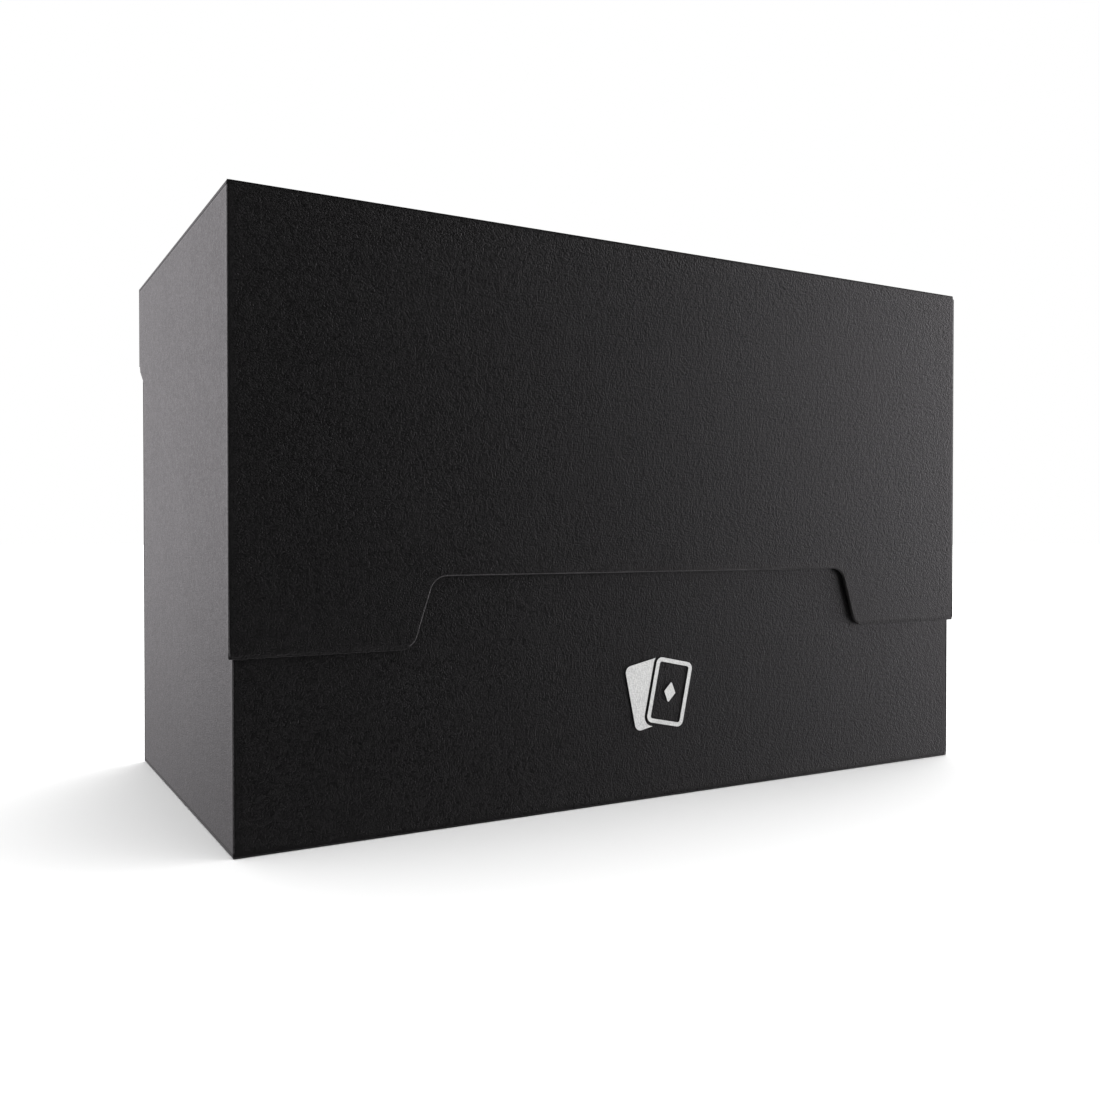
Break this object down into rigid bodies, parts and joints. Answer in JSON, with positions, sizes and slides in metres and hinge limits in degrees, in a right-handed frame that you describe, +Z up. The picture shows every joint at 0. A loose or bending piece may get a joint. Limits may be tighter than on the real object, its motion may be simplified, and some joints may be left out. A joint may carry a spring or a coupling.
{
  "type": "card deck box",
  "caption": "Folded black plastic deck box for sleeved cards, with a living-hinge lid whose long front flap has a wide cut-out, and a loose divider inside.",
  "frame": {"origin": "middle of the footprint, at the underside of the floor panel", "axes": "+X along the width to the right seen from the front, +Y from the front to the hinge at the back, +Z up"},
  "size_m": [0.1522, 0.0792, 0.0981],
  "materials": {
    "black_sheet": "fine embossed grain",
    "hinge_web": "scored and stretched, smoother than the sheet",
    "divider_sheet": "fine embossed grain",
    "white_ink": "screen-printed ink"
  },
  "bodies": {
    "body": {"body_front_panel": "black_sheet", "body_bottom_panel": "black_sheet", "body_back_panel": "black_sheet", "body_left_side_panel": "black_sheet", "body_right_side_panel": "black_sheet", "body_left_rear_tab": "black_sheet", "body_right_rear_tab": "black_sheet", "body_left_bottom_tab": "black_sheet", "body_right_bottom_tab": "black_sheet", "hinge_web_lower": "hinge_web", "print_rear_card": "white_ink", "print_front_card": "white_ink", "print_pip": "white_ink"},
    "lid": {"hinge_web_upper": "hinge_web", "lid_back_strip": "black_sheet", "lid_top_panel": "black_sheet", "lid_front_flap": "black_sheet", "lid_left_side_panel": "black_sheet", "lid_right_side_panel": "black_sheet", "lid_left_rear_tab": "black_sheet", "lid_right_rear_tab": "black_sheet", "lid_left_top_tab": "black_sheet", "lid_right_top_tab": "black_sheet"},
    "divider": {"divider_panel": "divider_sheet", "divider_foot": "divider_sheet"}
  },
  "joints": [
    {"name": "lid_hinge", "type": "hinge", "parent": "body", "child": "lid", "pos_m": [0, 0.03957, 0.0814], "axis": [-1, 0, 0], "range_deg": [0, 175]},
    {"name": "divider_slide", "type": "slide", "parent": "body", "child": "divider", "axis": [1, 0, 0], "range_m": [-0.0605, 0.037]}
  ]
}
